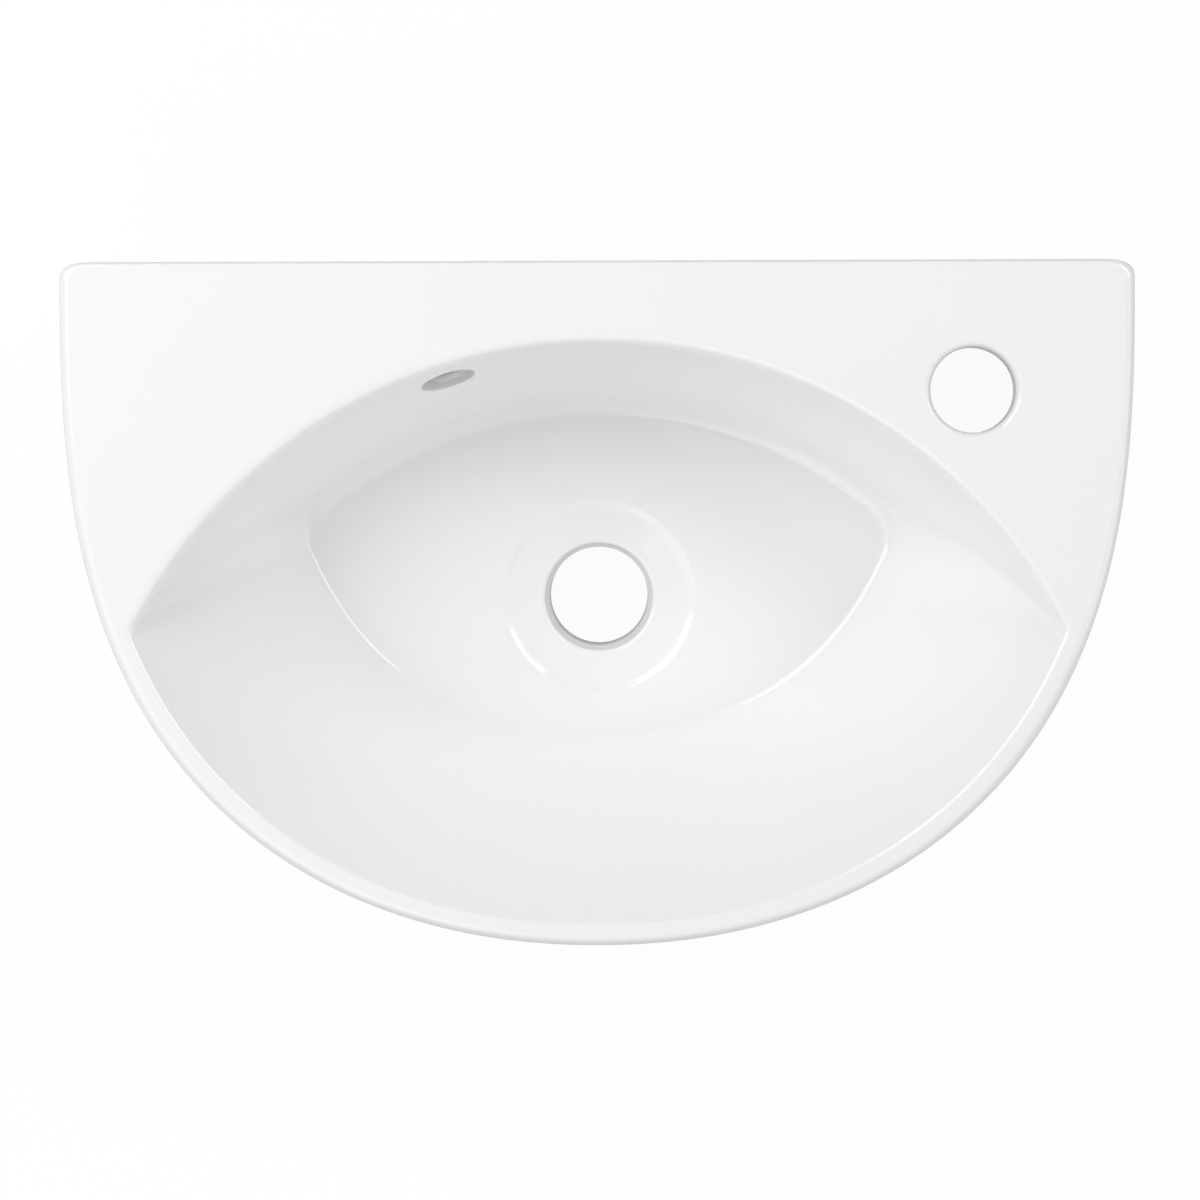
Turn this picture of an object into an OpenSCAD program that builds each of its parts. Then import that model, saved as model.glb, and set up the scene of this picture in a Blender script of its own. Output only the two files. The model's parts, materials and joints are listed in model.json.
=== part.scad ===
// Small wall-hung hand basin in glazed china, with a D-shaped outline, an eye-shaped bowl,
// one tap hole in the right of the deck and an overflow hole in the left of the back wall.
// X runs along the wall, -Y points out from the wall and Z points up.
// The origin lies on the wall face, midway between the two fixing holes.

/* [Outline] */
// Width of the basin at its widest, along the wall
basin_w = 440; // [430:1:450]
// Depth of the basin, from the wall to the front of the rim
basin_d = 280; // [275:1:290]
// Fullness of the sides: 2 is an ellipse, more is squarer
side_power = 2.11; // [2.05:0.01:2.2]
// Fullness of the front: 2 is an ellipse, more is squarer
front_power = 2.91; // [2.8:0.01:3.0]
// Rounding of the two corners beside the wall
corner_blend = 13; // [8:1:16]

/* [Rim and deck] */
// Radius of the outer edge of the rim, front and sides
rim_round = 4.5; // [4:0.5:6]
// Radius of the top edge along the wall
wall_edge_round = 1.5; // [1:0.5:2]
// Width of the rim, from the outline to the front slope's top edge
rim_w = 8.7; // [8.5:0.1:10]
// Thickness of the deck round the tap hole
deck_t = 14; // [12:0.5:16]
// Radius of the bowl's top edge along the back wall
mouth_round = 5.4; // [4:0.2:5.6]
// Radius of the bowl's top edge along the front slope
front_edge_round = 3; // [2:0.5:4]

/* [Bowl] */
// Distance from the wall to the top edge of the bowl's back wall, at the middle
mouth_back = 33.4; // [32:0.2:35]
// Radius of the bowl's back edge, seen from above
mouth_r = 212.5; // [208:0.5:216]
// Depth of the floor's outer edge below the deck
floor_depth = 88; // [84:1:90]
// How far the back wall leans in over that depth
wall_run = 21; // [19:1:24]
// How far the front slope runs in over that depth
front_run = 71.3; // [69:0.1:73]
// Radius between the back wall and the floor
foot_round = 12; // [9:1:13]
// Radius between the front slope and the floor
front_foot_round = 5; // [4:1:10]
// Rounding of the two valleys where the back wall meets the front slope
valley_blend = 16; // [8:1:20]
// Radius of the dish round the waste hole
dish_r = 37; // [35:0.5:40]
// Depth of the dish's edge below the deck
dish_depth = 92; // [91.5:0.5:93]
// Thickness of the bowl's china
bowl_t = 10; // [9:0.5:11]

/* [Waste and overflow] */
// Distance from the wall to the middle of the waste hole
drain_y = 140; // [138:0.5:142]
// Diameter of the waste hole
waste_hole = 43; // [42.5:0.5:45]
// Outer diameter of the boss round the waste hole
boss_d = 77; // [74:1:84]
// Depth of the boss's bottom face below the deck
boss_depth = 137; // [134:1:138]
// Diameter of the overflow hole
overflow_hole = 22.8; // [20:0.2:24]
// Distance of the overflow hole to the left of the middle
overflow_x = 61.8; // [58:0.1:66]
// Depth of the overflow hole's middle below the deck
overflow_depth = 23; // [20:1:26]
// Inner radius of the overflow duct
duct_r = 8; // [7:0.5:9]
// Thickness of the china over the overflow duct
duct_t = 5; // [4.5:0.5:6]

/* [Tap hole] */
// Diameter of the tap hole
tap_hole = 35; // [34:0.5:36]
// Distance of the tap hole to the right of the middle
tap_x = 153.5; // [148:0.5:156]
// Distance of the tap hole from the wall
tap_y = 53.4; // [51:0.1:55]

/* [Skirt and back plate] */
// Height of the basin, from the deck to the lower edge
basin_h = 140; // [140:1:150]
// How far the skirt comes in at each side, at the lower edge
side_tuck = 13; // [10:1:14]
// How far the skirt comes in at the front, at the lower edge
front_tuck = 75; // [60:1:80]
// How late the skirt turns in: 1 is straight, more is rounder
skirt_power = 2.2; // [1.8:0.1:2.6]
// Thickness of the skirt
skirt_t = 9.5; // [9:0.5:10]
// Thickness of the back plate
plate_t = 12; // [11:0.5:13]
// Radius of the arch for the pipes, cut in the back plate's lower edge
pipe_arch_r = 50; // [40:1:52]

/* [Wall fixings] */
// Distance between the two fixing holes
fixing_spacing = 200; // [190:5:220]
// Depth of the fixing holes below the deck
fixing_depth = 75; // [70:1:80]
// Diameter of the fixing holes in the china
fixing_hole = 20; // [18:0.5:21]
// Diameter of the ground seat round each fixing hole
seat_d = 36; // [34:1:38]
// Depth of the ground seat
seat_depth = 0.5; // [0.5:0.1:1]
// Bore of the nylon bush, for an M10 bolt
bush_bore = 11; // [10.5:0.5:12]
// Diameter of the bush's flange
bush_flange_d = 32; // [28:1:33]
// Thickness of the bush's flange
bush_flange_t = 4; // [3:0.5:5]
// Gap between the bush and the china, all round
bush_gap = 0.3; // [0.2:0.1:0.5]

/* [Hidden] */
$fn = 96;

china = "white";
nylon = "gainsboro";

// Slopes of the bowl's back wall and front slope, from level
wall_slope = atan(floor_depth / wall_run);
front_slope = atan(floor_depth / front_run);

// Middle of the circle that the bowl's back wall follows, measured from the waste hole
wall_centre = mouth_back + mouth_r - drain_y;

// The flat of the dish, where the waste fitting seals
seal_w = 4;
dish_fall = 3.5;
dish_flat_r = waste_hole / 2 + seal_w;
dish_flat_depth = dish_depth + dish_fall;

// Radius of the solid core that the waste hole is later bored through
core_r = waste_hole / 2 - 4;

// Rounding of the edges of the waste hole, the tap hole and the overflow hole
waste_edge = 2;
tap_edge = 3;
overflow_edge = 0.8;

// How far a cutter runs past the surface that it opens
past = 2;

// The overflow hole's middle on the bowl's back wall, and the direction that the wall faces there
wall_axis_y = mouth_back + mouth_r;
overflow_r = mouth_r - overflow_depth / tan(wall_slope);
overflow_y = wall_axis_y - sqrt(pow(overflow_r, 2) - pow(overflow_x, 2));
overflow_at = [-overflow_x, -overflow_y, fixing_depth - overflow_depth];
overflow_axis = [overflow_x / overflow_r * sin(wall_slope),
                 (overflow_y - wall_axis_y) / overflow_r * sin(wall_slope),
                 cos(wall_slope)];

// The overflow duct runs in one upright plane through the waste hole's axis. Its bends are
// behind the hole, outside the foot of the wall and in the waste hole, by reach and depth.
duct_behind = 16;
duct_top = overflow_at - overflow_axis * duct_behind;
duct_angle = atan2(duct_top[1] + drain_y, duct_top[0]);
heel_reach = 106;
heel_depth = floor_depth + 9;
outlet_reach = 10;
outlet_depth = boss_depth - 16;
duct_heel = ray_point(duct_angle, heel_reach, heel_depth);
duct_outlet = ray_point(duct_angle, outlet_reach, outlet_depth);

// The bowl's china swells over the duct. The swelling's height, the extra part of it at the
// duct's heel, and half the width of its crown and of its foot
swell = duct_behind + duct_r + duct_t - bowl_t - 1;
heel_swell = 0.35;
crown_w = 5;
swell_w = 27;

// Rounding of the hidden inner corners, of the skirt's lower edge and of that edge at the wall,
// and the part of the lower edge's rounding where its first ring lies
inner_round = 3;
lip_round = 4;
wall_lip = 2;
lip_start = 0.3;

// Least width of the flat under the deck, where the swelling over the duct comes near the back plate
least_flat = 1;

// Radius of the two corners where the pipe arch meets the lower edge
arch_corner = 5;

// Depth of the solid rim's underside in front, and the rays between which it rises to the deck's
rim_underside = 28;
rise_start = -2;
rise_end = 10;

// Depth of the floor's underside beside the boss, and the rounding at the boss's two ends
floor_underside = dish_depth + bowl_t;
boss_foot = 6;
boss_edge = 1.5;

// The point on ray a at reach r from the waste hole's axis and depth h below the deck
function ray_point(a, r, h) = [r * cos(a), r * sin(a) - drain_y, fixing_depth - h];

function mix(p, q, f) = p + (q - p) * f;
function ease(f) = let (g = min(max(f, 0), 1)) g * g * (3 - 2 * g);

// The lesser of two reaches, with the corner between them rounded
function rounded_min(p, q, k) = let (h = max(k - abs(p - q), 0) / k) min(p, q) - h * h * k / 4;

// How far a point r out along ray a lies outside a D-shaped curve w wide each side and d deep
function excess(r, a, w, d) =
    pow(abs(r * cos(a)) / w, side_power) + pow(max(0, drain_y - r * sin(a)) / d, front_power) - 1;

// Reach along ray a, from the waste hole to that curve, by halving
function d_reach(a, w, d, low = 0, high = 900, n = 24) =
    n == 0 ? (low + high) / 2
    : excess((low + high) / 2, a, w, d) > 0 ? d_reach(a, w, d, low, (low + high) / 2, n - 1)
    : d_reach(a, w, d, (low + high) / 2, high, n - 1);

// Reach to a plane parallel to the wall, at distance y from it
function plane_reach(a, y) = sin(a) > 0.01 ? (drain_y - y) / sin(a) : 2000;

// Reach to the outline moved in: by w at the sides, d at the front and y at the wall
function outline_reach(a, w, d, y) =
    rounded_min(d_reach(a, basin_w / 2 - w, basin_d - d), plane_reach(a, y), corner_blend);

// Reach to the circle of the bowl's back wall, moved in by w
function wall_reach(a, w) =
    sqrt(pow(mouth_r - w, 2) - pow(wall_centre * cos(a), 2)) - wall_centre * sin(a);

// Run of a slope at depth h: rounded at its top by r, and at its foot by q
function run_at(h, slope, r, foot, q) =
    h < r * (1 - cos(slope)) ? sqrt(h * (2 * r - h)) - r * tan(slope / 2)
    : h > foot - q * (1 - cos(slope))
        ? foot / tan(slope) + q * tan(slope / 2) - sqrt(max(0, (foot - h) * (2 * q - foot + h)))
    : h / tan(slope);

// Reach to the bowl's surface at depth h, where both slopes meet in a rounded valley
function bowl_reach(a, h) =
    let (blend = mix(2, valley_blend, ease(h / floor_depth)),
         front_in = rim_w + run_at(h, front_slope, front_edge_round, floor_depth, front_foot_round))
    rounded_min(wall_reach(a, run_at(h, wall_slope, mouth_round, floor_depth, foot_round)),
                d_reach(a, basin_w / 2 - front_in, basin_d - front_in), blend);

// Reach to the underside of the bowl, at depth h, a china's thickness outside its surface
function under_reach(a, h) =
    let (foot = floor_depth + bowl_t,
         wall_in = run_at(h, wall_slope, 0, foot, foot_round + bowl_t) - bowl_t / sin(wall_slope),
         front_in = rim_w + run_at(h, front_slope, 0, foot, front_foot_round + bowl_t)
             - bowl_t / sin(front_slope))
    rounded_min(wall_reach(a, wall_in),
                d_reach(a, basin_w / 2 - front_in, basin_d - front_in), valley_blend + bowl_t);

// How far the skirt has come in at depth h, as a part of its tuck
function tuck_at(h) = pow(max(0, h - rim_round) / (basin_h - rim_round), skirt_power);

// Reach to the skirt at depth h, moved in by t at the front and sides and by y at the wall
function skirt_reach(a, h, t, y) =
    outline_reach(a, side_tuck * tuck_at(h) + t, front_tuck * tuck_at(h) + t, y);

// The ray on which the right valley crosses depth h, between rays low and high, by halving
function valley_ray(h, low = -20, high = 30, n = 16) =
    let (a = (low + high) / 2,
         w = run_at(h, wall_slope, mouth_round, floor_depth, foot_round),
         d = rim_w + run_at(h, front_slope, front_edge_round, floor_depth, front_foot_round))
    n == 0 ? a
    : wall_reach(a, w) > d_reach(a, basin_w / 2 - d, basin_d - d) ? valley_ray(h, a, high, n - 1)
    : valley_ray(h, low, a, n - 1);
mouth_corner = valley_ray(0);
eye_corner = valley_ray(floor_depth);

// The angle of ray a at depth h: rays turn a little on the way down, so that they follow the valleys
valley_pull = 60;
function turned(a, h) =
    let (on_right = a > 90 ? 180 - a : a,
         turn = (eye_corner - mouth_corner) * min(1, h / floor_depth)
             * max(0, 1 - abs(on_right - mouth_corner) / valley_pull))
    a > 90 ? a - turn : a + turn;

// Rays on which the shell's cross-sections lie: first angle, last angle and steps of each zone,
// from the front round by the right. They are closest at the bowl's valleys, at the outline's
// corners and over the overflow duct.
mouth_corner_left = 180 - mouth_corner;
ray_zones = [[-90, mouth_corner - 14, 17], [mouth_corner - 14, mouth_corner - 4, 4],
             [mouth_corner - 4, mouth_corner + 4, 6], [mouth_corner + 4, mouth_corner + 14, 4],
             [mouth_corner + 14, 28, 3], [28, 36, 7], [36, 102, 14], [102, 144, 16], [144, 152, 7],
             [152, mouth_corner_left - 14, 3], [mouth_corner_left - 14, mouth_corner_left - 4, 4],
             [mouth_corner_left - 4, mouth_corner_left + 4, 6],
             [mouth_corner_left + 4, mouth_corner_left + 14, 4], [mouth_corner_left + 14, 270, 17]];
rays = [for (z = ray_zones) for (i = [0 : z[2] - 1]) z[0] + (z[1] - z[0]) * i / z[2]];

// A point of the bowl's surface on ray a at depth h, as reach, depth and angle
function bowl_point(a, h) = let (b = turned(a, h)) [bowl_reach(b, h), h, b];

// A point of the floor on ray a at reach r and depth h
function floor_point(a, r, h) = [r, h, turned(a, h)];

// A point of the underside at reach r and depth h, pushed out over the overflow duct.
// The push turns from level, at 0 degrees, to straight down, at 90.
function swollen(a, r, h, turn) =
    let (b = turned(a, h),
         aside = cos(b - duct_angle) > 0 ? abs(r * sin(b - duct_angle)) : swell_w,
         push = swell * (1 + heel_swell * sin(2 * turn))
             * (1 - ease((aside - crown_w) / (swell_w - crown_w))))
    [r + push * cos(turn), h + push * sin(turn), b];
function under_point(a, h, turn) = swollen(a, under_reach(turned(a, h), h), h, turn);

// The edge of the flat under the deck and rim, at depth h, where the bowl's underside starts
function flat_edge(a, h) =
    let (p = swollen(a, under_reach(turned(a, h), h) + inner_round, h, 0))
    [min(p[0], skirt_reach(p[2], h, skirt_t + inner_round, plate_t + inner_round) - least_flat), h, p[2]];

// Depth where the hollow under the deck and rim begins
function hollow_top(a) =
    let (on_right = a > 90 ? 180 - a : a)
    mix(rim_underside, deck_t, ease((on_right - rise_start) / (rise_end - rise_start)));

// Depths of the rings down the bowl: along its rounded edge, its slopes and its rounded foot
slope_top = mouth_round * (1 - cos(wall_slope));
slope_foot = floor_depth - foot_round * (1 - cos(wall_slope));
bowl_depths = concat(
    [for (i = [0 : 3]) slope_top * (1 - cos(90 * i / 4))],
    [for (i = [0 : 4]) mix(slope_top, slope_foot, i / 4)],
    [for (i = [1 : 4]) floor_depth - foot_round * (1 - cos(wall_slope * (1 - i / 4)))]);

// Parts of the way at which the other rings lie, and how far the push has turned at each ring
// of the underside
skirt_parts = [for (i = [1 : 5]) i / 5];
under_parts = [0, 0.35, 0.65, 0.82, 0.92, 1];
under_turns = [0, 0, 0, 15, 30, 50];

// Middle rings of the dish and of the floor round it: part of the way out, and part of the rise
dish_ring = [0.5, 0.4];
floor_ring = [0.5, 0.6];

// One cross-section of the shell on ray a, as points of reach, depth and angle: from the waste
// hole over the bowl, the deck, the outline and the skirt, and back under the bowl to the boss
function section(a) =
    let (top = hollow_top(a),
         hollow = top + inner_round,
         side_angles = [for (i = [0 : 5]) 90 * i / 5],
         lip = basin_h - lip_round,
         eye = bowl_reach(turned(a, floor_depth), floor_depth),
         under_eye = under_reach(turned(a, floor_depth), floor_depth + bowl_t))
    concat(
        [floor_point(a, core_r, dish_flat_depth),
         floor_point(a, dish_flat_r, dish_flat_depth),
         floor_point(a, mix(dish_flat_r, dish_r, dish_ring[0]),
                     mix(dish_flat_depth, dish_depth, dish_ring[1])),
         floor_point(a, dish_r, dish_depth),
         floor_point(a, mix(dish_r, eye, floor_ring[0]), mix(dish_depth, floor_depth, floor_ring[1]))],
        [for (i = [len(bowl_depths) - 1 : -1 : 0]) bowl_point(a, bowl_depths[i])],
        [for (t = side_angles)
            let (in = rim_round * (1 - sin(t)))
            [outline_reach(a, in, in, wall_edge_round * (1 - sin(t))), rim_round * (1 - cos(t)), a]],
        [for (f = skirt_parts) let (h = mix(rim_round, lip, f)) [skirt_reach(a, h, 0, 0), h, a]],
        [[skirt_reach(a, basin_h, lip_round * lip_start, 0), basin_h - lip_round * lip_start, a],
         [skirt_reach(a, basin_h, lip_round, wall_lip), basin_h, a],
         [skirt_reach(a, basin_h, skirt_t - lip_round, plate_t - wall_lip), basin_h, a]],
        [for (f = skirt_parts)
            let (h = mix(lip, hollow, f - skirt_parts[0])) [skirt_reach(a, h, skirt_t, plate_t), h, a]],
        [[skirt_reach(a, hollow, skirt_t, plate_t), hollow, a],
         [skirt_reach(a, top, skirt_t + inner_round, plate_t + inner_round), top, a],
         flat_edge(a, top)],
        [for (i = [0 : len(under_parts) - 1])
            under_point(a, mix(hollow, floor_depth + bowl_t, under_parts[i]), under_turns[i])],
        [swollen(a, mix(boss_d / 2, under_eye, floor_ring[0]),
                 mix(floor_underside, floor_depth + bowl_t, 1 - floor_ring[1]), 90),
         swollen(a, boss_d / 2 + boss_foot, floor_underside + boss_edge, 90),
         swollen(a, boss_d / 2, floor_underside + boss_foot, 90),
         floor_point(a, boss_d / 2, boss_depth - boss_edge),
         floor_point(a, boss_d / 2 - boss_edge, boss_depth),
         floor_point(a, core_r, boss_depth)]);

// A closed shell through the cross-sections on all rays
module shell() {
    sections = [for (a = rays) section(a)];
    n = len(rays);
    m = len(sections[0]);
    points = [for (s = sections) for (p = s) ray_point(p[2], p[0], p[1])];
    faces = [for (i = [0 : n - 1]) for (j = [0 : m - 1])
        let (i2 = (i + 1) % n, j2 = (j + 1) % m)
        for (half = [0, 1])
            half == 0 ? [i * m + j, i2 * m + j2, i * m + j2] : [i * m + j, i2 * m + j, i2 * m + j2]];
    polyhedron(points, faces, convexity = 8);
}

// Turns its children's Z axis along v, from p
module along(p, v) {
    translate(p)
        rotate([0, acos(v[2] / norm(v)), atan2(v[1], v[0])])
            children();
}

// A round hole straight down from a level surface at height 0, with its top edge rounded.
// The circle of the edge stands a little proud, so that it crosses the surface cleanly.
module edged_hole(d, edge, length) {
    proud = 0.15;
    rotate_extrude()
        difference() {
            translate([0, -length])
                square([d / 2 + edge, length + past]);
            translate([d / 2, -length - past])
                square([edge + past, length + past - edge + proud]);
            translate([d / 2 + edge, proud - edge])
                circle(edge);
        }
}

// A straight round bar of radius r from p to q
module bar(p, q, r) {
    along(p, q - p)
        cylinder(h = norm(q - p), r = r);
}

// Turns its children to a fixing hole's axis: their Z is the distance out from the wall face
module at_fixing(side) {
    translate([side * fixing_spacing / 2, 0, 0])
        rotate([90, 0, 0])
            children();
}

// The outline of the pipe arch, with its middle on the lower edge and its two corners rounded
module pipe_arch() {
    corner_x = sqrt(pow(pipe_arch_r + arch_corner, 2) - pow(arch_corner, 2));
    circle(pipe_arch_r);
    for (side = [-1, 1])
        scale([side, 1])
            difference() {
                polygon([[0, -past], [corner_x, -past], [corner_x, arch_corner], [0, 0]]);
                translate([corner_x, arch_corner])
                    circle(arch_corner);
            }
}

// The holes through the back plate: two fixing holes with ground seats, and the pipe arch
module back_plate_holes() {
    for (side = [-1, 1])
        at_fixing(side) {
            translate([0, 0, -past])
                cylinder(h = plate_t + 2 * past, d = fixing_hole);
            translate([0, 0, plate_t - seat_depth])
                cylinder(h = seat_depth + past, d = seat_d);
        }
    translate([0, past, fixing_depth - basin_h])
        rotate([90, 0, 0])
            linear_extrude(plate_t + 2 * past)
                pipe_arch();
}

// The overflow: a hole square to the bowl's back wall, and the duct down to the waste hole
module overflow_passage() {
    along(overflow_at, overflow_axis)
        edged_hole(overflow_hole, overflow_edge, bowl_t + past);
    translate(duct_top)
        sphere(duct_r + 1);
    bar(duct_top, duct_heel, duct_r);
    translate(duct_heel)
        sphere(duct_r + 0.5);
    bar(duct_heel, duct_outlet, duct_r);
}

// The one-piece china basin
module basin() {
    color(china)
        difference() {
            shell();
            overflow_passage();
            back_plate_holes();
            translate([tap_x, -tap_y, fixing_depth])
                edged_hole(tap_hole, tap_edge, deck_t + past);
            translate([0, -drain_y, fixing_depth - dish_flat_depth])
                edged_hole(waste_hole, waste_edge, boss_depth - dish_flat_depth + past);
        }
}

// A nylon bush with a flange, in a fixing hole; it keeps the steel bolt off the china
module fixing_bush(side) {
    shank_r = fixing_hole / 2 - bush_gap;
    seat = plate_t - seat_depth;
    lead = 0.8;
    color(nylon)
        at_fixing(side)
            rotate_extrude()
                polygon([[bush_bore / 2, 0],
                         [shank_r - lead, 0],
                         [shank_r, lead],
                         [shank_r, seat],
                         [bush_flange_d / 2, seat],
                         [bush_flange_d / 2, seat + bush_flange_t - lead],
                         [bush_flange_d / 2 - lead, seat + bush_flange_t],
                         [bush_bore / 2 + lead, seat + bush_flange_t],
                         [bush_bore / 2, seat + bush_flange_t - lead]]);
}

basin();
fixing_bush(-1);  // fixing_bush_left
fixing_bush(1);  // fixing_bush_right
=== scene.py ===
"""A small wall-hung hand basin in glazed white china, looked at from straight above.

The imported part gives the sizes, the holes and the frame: X along the wall, -Y out from the wall, Z up,
with the origin on the wall face midway between the two fixing holes. The basin here is one closed mesh.
Its cross-sections lie on rays about the waste hole's axis, each hole is a round port let into that mesh,
and the overflow duct joins two of the ports inside the china. Lengths are in millimetres until a mesh is
made.
"""

import json
import math

import bmesh
import bpy
import numpy as np
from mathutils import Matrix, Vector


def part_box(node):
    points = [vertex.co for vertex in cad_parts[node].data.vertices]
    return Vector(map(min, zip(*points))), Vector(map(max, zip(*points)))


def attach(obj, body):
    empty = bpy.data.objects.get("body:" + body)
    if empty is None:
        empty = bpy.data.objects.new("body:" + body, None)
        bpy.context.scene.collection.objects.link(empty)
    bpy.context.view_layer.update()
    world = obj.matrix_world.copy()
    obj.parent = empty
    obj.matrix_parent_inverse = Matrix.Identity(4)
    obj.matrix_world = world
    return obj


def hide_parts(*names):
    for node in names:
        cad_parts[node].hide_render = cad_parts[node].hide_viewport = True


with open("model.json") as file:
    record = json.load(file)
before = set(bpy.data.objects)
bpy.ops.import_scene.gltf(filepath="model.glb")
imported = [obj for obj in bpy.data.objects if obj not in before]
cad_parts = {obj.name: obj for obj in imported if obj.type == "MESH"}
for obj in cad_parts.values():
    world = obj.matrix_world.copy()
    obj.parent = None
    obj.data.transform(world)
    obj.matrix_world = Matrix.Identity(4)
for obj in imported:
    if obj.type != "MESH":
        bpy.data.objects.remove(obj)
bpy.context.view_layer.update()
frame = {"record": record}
mounts = {m["name"]: m for m in frame["record"]["mounts"]}

MM = 0.001

# A reach past the whole basin
FAR = 900.0

# The basin's outline, deck and rim. The outline is a D, whose powers make it fuller than an ellipse.
BASIN_LOW, BASIN_HIGH = (np.array(corner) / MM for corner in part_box("basin"))
DECK_Z = BASIN_HIGH[2]
LIP_Z = BASIN_LOW[2]
BASIN_H = DECK_Z - LIP_Z
BASIN_W = 440.0
BASIN_D = -BASIN_LOW[1]
DRAIN_Y = -mounts["waste_hole"]["pos_m"][1] / MM
SIDE_POWER = 2.11
FRONT_POWER = 2.91
CORNER_BLEND = 13.0
RIM_ROUND = 4.5
WALL_EDGE_ROUND = 1.5
RIM_W = 8.7
DECK_T = 14.0
MOUTH_ROUND = 5.4
FRONT_EDGE_ROUND = 3.0

# The bowl: the back wall runs down a cone and the front slope down a D, each with a rounded top edge and
# foot. They meet in two valleys, which are rounded more and more towards the floor.
MOUTH_BACK = 33.4
MOUTH_R = 212.5
WALL_CENTRE_Y = MOUTH_BACK + MOUTH_R
WALL_CENTRE = WALL_CENTRE_Y - DRAIN_Y
FLOOR_DEPTH = 88.0
WALL_RUN = 21.0
FRONT_RUN = 71.3
FOOT_ROUND = 12.0
FRONT_FOOT_ROUND = 5.0
MOUTH_BLEND = 2.0
VALLEY_BLEND = 16.0
BOWL_T = 10.0
WALL_SLOPE = math.atan(FLOOR_DEPTH / WALL_RUN)
FRONT_SLOPE = math.atan(FLOOR_DEPTH / FRONT_RUN)

# The dish in the floor, with a small step at its edge
DISH_R = 41.8
DISH_DEPTH = 92.0
DISH_FALL = 3.5
DISH_STEP = 0.75
DISH_STEP_W = 3.0

# The waste hole, its boss and the tap hole
WASTE_R = mounts["waste_hole"]["dims"]["r_mm"]
WASTE_TOP_R = WASTE_R + 1.7
WASTE_EDGE = 2.0
WASTE_FOOT = 1.0
SEAL_W = 4.0
BOSS_R = 38.5
BOSS_DEPTH = DECK_Z - mounts["waste_boss_face"]["pos_m"][2] / MM
BOSS_FOOT = 6.0
BOSS_EDGE = 1.5
TAP_AT = np.array(mounts["tap_hole"]["pos_m"]) / MM
TAP_R = mounts["tap_hole"]["dims"]["r_mm"]
TAP_EDGE = 3.0
TAP_FOOT = 1.0

# The skirt, the back plate and its pipe arch
SIDE_TUCK = 13.0
FRONT_TUCK = 75.0
SKIRT_POWER = 2.2
SKIRT_T = 9.5
PLATE_T = 12.0
ARCH_R = 50.0
ARCH_FILLET = 5.0
INNER_ROUND = 3.0
LIP_ROUND = 4.0
LIP_DEPTH = BASIN_H - LIP_ROUND
WALL_LIP = 2.0

# Depth of the rim's underside, and the rays between which it rises to that of the deck
RIM_UNDERSIDE = 28.0
RISE_START, RISE_END = -2.0, 10.0

# The wall fixings
FIXING_X = mounts["wall_fixings"]["dims"]["spacing_x_mm"] / 2
FIXING_R = 10.0
FIXING_EDGE = 0.6
SEAT_R = 18.0
SEAT_DEPTH = 0.5
SEAT_EDGE = 0.2

# The overflow hole and the duct behind it
OVERFLOW_AXIS = np.array(mounts["overflow_hole"]["axis"])
OVERFLOW_R = mounts["overflow_hole"]["dims"]["r_mm"]
OVERFLOW_MOUNT_IN = 6.0
OVERFLOW_AT = np.array(mounts["overflow_hole"]["pos_m"]) / MM + OVERFLOW_MOUNT_IN * OVERFLOW_AXIS
OVERFLOW_EDGE = 0.8
DUCT_R = 8.0
DUCT_BEHIND = 16.0
DUCT_EDGE = 0.8
TOP_BEND_R, HEEL_BEND_R = 12.2, 14.0
HEEL_REACH, HEEL_DEPTH = 106.0, FLOOR_DEPTH + 9.0
OUTLET_REACH, OUTLET_DEPTH = 10.0, BOSS_DEPTH - 16.0

# How far the bowl's underside swells out over the duct, its further part on the slant, and the distances
# to each side at which the swelling starts to fall off and ends
SWELL = 18.0
HEEL_SWELL = 0.35
CROWN_W = 5.0
SWELL_W = 27.0

# Finishes of the basin's faces, by material slot
GLAZE, THIN_GLAZE, BARE_CHINA = 0, 1, 2


def mix(p, q, f):
    return p + (q - p) * f


def ease(f):
    g = np.clip(f, 0.0, 1.0)
    return g * g * (3 - 2 * g)


def steps(first, last, n):
    """The n places after first, in equal steps up to last."""
    return np.linspace(first, last, n + 1)[1:]


def quarter(r, n):
    """The n places round an edge of radius r: how far each lies from the first side and the second."""
    for t in steps(0, 90, n):
        yield r * (1 - cos(t)), r * (1 - sin(t))


def rounded_min(p, q, k):
    """The lesser of two reaches, with the corner between them rounded."""
    h = np.maximum(k - np.abs(p - q), 0) / k
    return np.minimum(p, q) - h * h * k / 4


def sin(a):
    return np.sin(np.radians(a))


def cos(a):
    return np.cos(np.radians(a))


def at(reach, depth, a):
    """Points at a reach from the waste hole's axis and a depth below the deck, on rays a."""
    reach, depth, a = np.broadcast_arrays(reach, depth, a)
    return np.stack([reach * cos(a), reach * sin(a) - DRAIN_Y, DECK_Z - depth], axis=-1)


def halved(low, high, beyond, n):
    """Where beyond turns true between low and high, by halving that span n times."""
    for _ in range(n):
        middle = (low + high) / 2
        past = beyond(middle)
        low, high = np.where(past, low, middle), np.where(past, middle, high)
    return (low + high) / 2


def d_reach(a, w, d):
    """Reach along rays a to a D-shaped curve w wide each side and d deep."""
    def outside(r):
        side, front = np.abs(r * cos(a)) / w, np.maximum(0, DRAIN_Y - r * sin(a)) / d
        return side ** SIDE_POWER + front ** FRONT_POWER - 1 > 0
    return halved(np.zeros_like(a), np.full_like(a, FAR), outside, 40)


def plane_reach(a, y):
    """Reach to a plane parallel to the wall, at distance y from it."""
    up, least = sin(a), 0.01
    return np.where(up > least, (DRAIN_Y - y) / np.maximum(up, least), FAR)


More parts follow.
